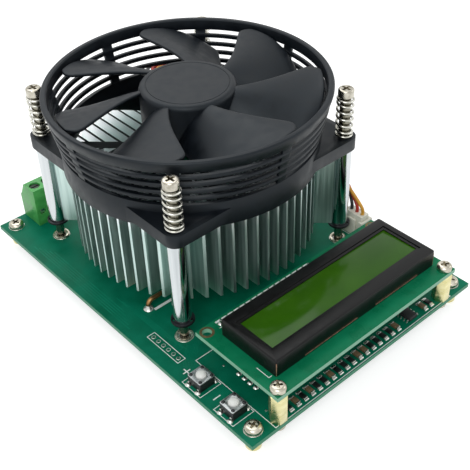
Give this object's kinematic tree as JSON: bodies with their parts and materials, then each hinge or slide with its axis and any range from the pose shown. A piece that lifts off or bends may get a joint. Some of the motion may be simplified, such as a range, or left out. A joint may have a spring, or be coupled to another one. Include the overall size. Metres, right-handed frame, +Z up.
{
  "type": "dc electronic load",
  "caption": "Open-board dc electronic load: a fan and round finned heatsink on sprung screws over power transistors, with a two-line display, push buttons and screw terminals.",
  "frame": {"origin": "Under the middle of the main board, on the plane of the feet.", "axes": "X runs along the display's long side to the right, Y from the display towards the fan and terminals, Z up."},
  "size_m": [0.1, 0.14, 0.0713],
  "materials": {
    "board_green": "satin solder resist",
    "display_green": "satin solder resist",
    "brass": "turned, pale plated",
    "nickel_steel": "bright nickel plate",
    "bright_sleeve": "drawn and polished",
    "fin_aluminium": "as extruded",
    "fan_black": "fine matt moulding",
    "bezel_black": "satin black paint",
    "display_glass": "smooth",
    "light_guide": "diffusing",
    "contact_rubber": "soft",
    "resin_black": "glossy drop",
    "black_plastic": "moulded",
    "tinned_metal": "tinned",
    "chip_black": "moulded epoxy",
    "pad_grey": "soft pad",
    "resistance_wire": "drawn alloy wire",
    "bearing_bronze": "sintered",
    "core_steel": "stacked sheet",
    "winding_copper": "enamelled wire",
    "magnet_black": "bonded ferrite",
    "clip_black": "oiled spring steel",
    "cap_white": "moulded",
    "cover_steel": "sheet",
    "terminal_green": "moulded",
    "cream_plastic": "moulded",
    "wire_skin": "soft insulation",
    "capacitor_tan": "ceramic body",
    "can_sleeve": "shrink sleeve"
  },
  "bodies": {
    "board": {"main_board": "board_green", "board_feet": "brass", "board_screws": "nickel_steel", "lcd_standoffs": "brass", "lcd_screws": "nickel_steel", "standoff_screws": "nickel_steel", "lcd_board": "display_green", "lcd_bezel": "bezel_black", "lcd_glass": "display_glass", "lcd_backlight": "light_guide", "lcd_contact_strips": "contact_rubber", "lcd_chip_blobs": "resin_black", "header_socket": "black_plastic", "header_strip": "black_plastic", "header_pins": "tinned_metal", "heatsink": "fin_aluminium", "thermal_pad": "pad_grey", "power_transistors": "chip_black", "transistor_legs": "tinned_metal", "shunt_wire": "resistance_wire", "fan_frame": "fan_black", "fan_bearing": "bearing_bronze", "fan_stator": "core_steel", "fan_coils": "winding_copper", "fan_driver_board": "board_green", "cooler_sleeves": "bright_sleeve", "cooler_screws": "nickel_steel", "cooler_springs": "nickel_steel", "cooler_clips": "clip_black", "cooler_nuts": "nickel_steel", "button_bodies": "black_plastic", "button_covers": "cover_steel", "button_legs": "tinned_metal", "terminal_housing": "terminal_green", "terminal_contacts": "tinned_metal", "fan_header": "cream_plastic", "fan_header_pins": "tinned_metal", "fan_plug": "cream_plastic", "fan_lead": "wire_skin", "chip_resistors": "chip_black", "chip_capacitors": "capacitor_tan", "chip_ends": "tinned_metal", "amplifier_chip": "chip_black", "controller_chip": "chip_black", "chip_legs": "tinned_metal", "power_inlet": "black_plastic", "inlet_contacts": "tinned_metal", "voltage_regulator": "chip_black", "supply_capacitor": "can_sleeve"},
    "fan_rotor": {"fan_rotor": "fan_black", "rotor_yoke": "core_steel", "rotor_magnet": "magnet_black", "rotor_shaft": "core_steel"},
    "button_cap_front": {"button_cap_front": "cap_white"},
    "button_cap_rear": {"button_cap_rear": "cap_white"},
    "terminal_screw_left": {"terminal_screw_left": "nickel_steel"},
    "terminal_screw_right": {"terminal_screw_right": "nickel_steel"},
    "terminal_cage_left": {"terminal_cage_left": "nickel_steel"},
    "terminal_cage_right": {"terminal_cage_right": "nickel_steel"}
  },
  "joints": [
    {"name": "fan_spin", "type": "hinge", "parent": "board", "child": "fan_rotor", "pos_m": [0, 0.0134, 0.0621], "axis": [0, 0, 1], "continuous": true},
    {"name": "button_front_press", "type": "slide", "parent": "board", "child": "button_cap_front", "axis": [0, 0, -1], "range_m": [0, 0.00025], "stiffness_N_per_m": 4000},
    {"name": "button_rear_press", "type": "slide", "parent": "board", "child": "button_cap_rear", "axis": [0, 0, -1], "range_m": [0, 0.00025], "stiffness_N_per_m": 4000},
    {"name": "clamp_screw_left_turn", "type": "hinge", "parent": "board", "child": "terminal_screw_left", "pos_m": [-0.03644, 0.06265, 0.0207], "axis": [0, 0, 1], "range_deg": [-1584.1, 0]},
    {"name": "clamp_cage_left_lift", "type": "slide", "parent": "board", "child": "terminal_cage_left", "axis": [0, 0, 1], "range_m": [0, 0.0022]},
    {"name": "clamp_screw_right_turn", "type": "hinge", "parent": "board", "child": "terminal_screw_right", "pos_m": [-0.03136, 0.06265, 0.0207], "axis": [0, 0, 1], "range_deg": [-1584.1, 0]},
    {"name": "clamp_cage_right_lift", "type": "slide", "parent": "board", "child": "terminal_cage_right", "axis": [0, 0, 1], "range_m": [0, 0.0022]}
  ],
  "couplings": [
    {"joint": "clamp_screw_left_turn", "follows": "clamp_cage_left_lift", "rad_per_m": -12566},
    {"joint": "clamp_screw_right_turn", "follows": "clamp_cage_right_lift", "rad_per_m": -12566}
  ]
}
